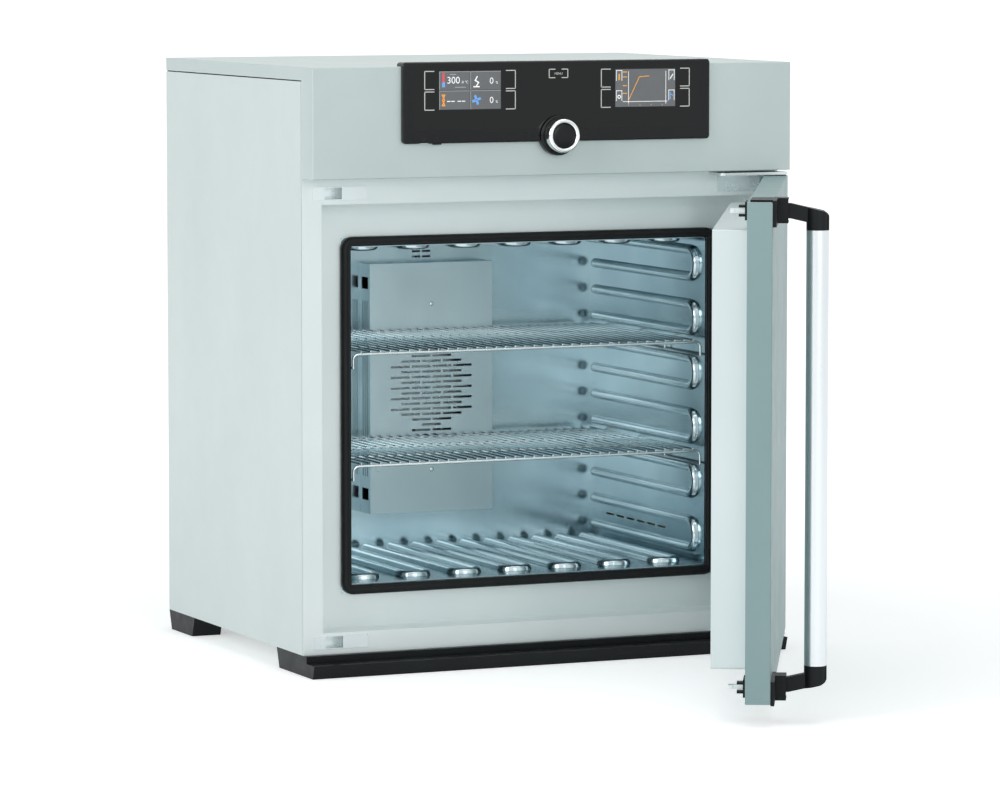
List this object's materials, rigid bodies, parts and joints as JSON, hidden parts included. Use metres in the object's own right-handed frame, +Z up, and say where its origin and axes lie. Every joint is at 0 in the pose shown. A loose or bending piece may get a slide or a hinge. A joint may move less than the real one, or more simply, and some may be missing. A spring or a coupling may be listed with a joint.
{
  "type": "laboratory oven",
  "caption": "Upright laboratory drying oven with forced air circulation: stainless casing, hinged door with a bar handle, ribbed heated chamber, wire shelves and a black control module",
  "frame": {"origin": "on the surface that the oven stands on, below the middle of the cabinet", "axes": "+X to the right seen from the front, +Y to the rear, +Z up; the door is stored open"},
  "size_m": [0.7482, 1.2345, 0.864],
  "materials": {
    "black_plastic": "fine satin",
    "casing_steel": "structured stainless sheet",
    "textured_steel": "structured stainless sheet, finely dimpled",
    "frame_steel": "smooth satin sheet",
    "polished_steel": "bright drawn sheet",
    "plain_steel": "satin",
    "wire_steel": "bright polished wire",
    "brushed_tube": "satin tube",
    "heater_metal": "dark oxidised sheath",
    "dark_metal": "semi-gloss",
    "chrome_trim": "mirror bright",
    "black_rubber": "matt",
    "mineral_wool": "loose fibre",
    "circuit_board": "satin lacquer",
    "black_gloss": "gloss",
    "dark_glass": "gloss black backed glass",
    "display_face": "dark screen"
  },
  "bodies": {
    "cabinet": {"front_plinth": "black_plastic", "rear_feet": "black_plastic", "base_panel": "casing_steel", "left_side_panel": "casing_steel", "right_side_panel": "casing_steel", "lid": "casing_steel", "rear_panel": "casing_steel", "inner_rear_wall": "casing_steel", "instrument_deck": "casing_steel", "fascia": "textured_steel", "face_frame": "frame_steel", "door_recess": "frame_steel", "gasket": "black_rubber", "chamber_shell": "polished_steel", "chamber_rear_wall": "polished_steel", "left_wall_ribs": "polished_steel", "right_wall_ribs": "polished_steel", "floor_ribs": "polished_steel", "ceiling_ribs": "polished_steel", "fan_cover": "polished_steel", "side_heaters": "heater_metal", "floor_ceiling_heaters": "heater_metal", "fan_motor": "dark_metal", "temperature_sensor": "plain_steel", "side_insulation": "mineral_wool", "top_bottom_insulation": "mineral_wool", "rear_insulation": "mineral_wool", "power_board": "circuit_board", "control_board": "circuit_board", "vent_pipe": "plain_steel", "flap_motor": "black_plastic", "mains_inlet": "black_plastic", "network_port": "black_plastic", "cockpit_housing": "black_gloss", "cockpit_glass": "dark_glass", "left_display": "display_face", "right_display": "display_face", "knob_collar": "black_gloss", "rotary_encoder": "dark_metal", "usb_port": "plain_steel", "strike_plates": "plain_steel", "hinge_brackets": "plain_steel"},
    "fan": {"fan_impeller": "plain_steel", "fan_shaft": "plain_steel"},
    "air_flap": {"air_flap": "plain_steel"},
    "knob_ring": {"knob_ring": "chrome_trim"},
    "knob_button": {"knob_button": "black_gloss"},
    "power_key": {"power_key": "black_plastic"},
    "upper_shelf": {"upper_shelf": "wire_steel"},
    "lower_shelf": {"lower_shelf": "wire_steel"},
    "door": {"door_outer_panel": "textured_steel", "door_inner_panel": "polished_steel", "door_insulation": "mineral_wool", "hinge_bushes": "black_plastic", "corner_guards": "black_plastic", "latch_housings": "black_plastic", "lever_pins": "plain_steel"},
    "handle": {"handle_tube": "brushed_tube", "handle_levers": "black_plastic", "latch_hooks": "plain_steel"}
  },
  "joints": [
    {"name": "door_hinge", "type": "hinge", "parent": "cabinet", "child": "door", "pos_m": [0.3623, -0.2816, 0.3618], "axis": [0, 0, 1], "range_deg": [-61.3, 118.7]},
    {"name": "handle_turn", "type": "hinge", "parent": "door", "child": "handle", "pos_m": [0.01913, -0.8676, 0.3655], "axis": [0, 0, 1], "range_deg": [0, 36]},
    {"name": "upper_shelf_slide", "type": "slide", "parent": "cabinet", "child": "upper_shelf", "axis": [0, -1, 0], "range_m": [0, 0.09]},
    {"name": "lower_shelf_slide", "type": "slide", "parent": "cabinet", "child": "lower_shelf", "axis": [0, -1, 0], "range_m": [0, 0.09]},
    {"name": "fan_spin", "type": "hinge", "parent": "cabinet", "child": "fan", "pos_m": [0, 0.19, 0.362], "axis": [0, 1, 0], "continuous": true},
    {"name": "air_flap_turn", "type": "hinge", "parent": "cabinet", "child": "air_flap", "pos_m": [0, 0.266, 0.561], "axis": [1, 0, 0], "range_deg": [0, 90]},
    {"name": "knob_turn", "type": "hinge", "parent": "cabinet", "child": "knob_ring", "pos_m": [0, -0.31, 0.7585], "axis": [0, 1, 0], "continuous": true},
    {"name": "knob_press", "type": "slide", "parent": "cabinet", "child": "knob_button", "axis": [0, 1, 0], "range_m": [0, 0.0015], "stiffness_N_per_m": 600, "springref_m": -0.002},
    {"name": "power_press", "type": "slide", "parent": "cabinet", "child": "power_key", "axis": [0, 0, 1], "range_m": [0, 0.0012], "stiffness_N_per_m": 600, "springref_m": -0.002}
  ]
}
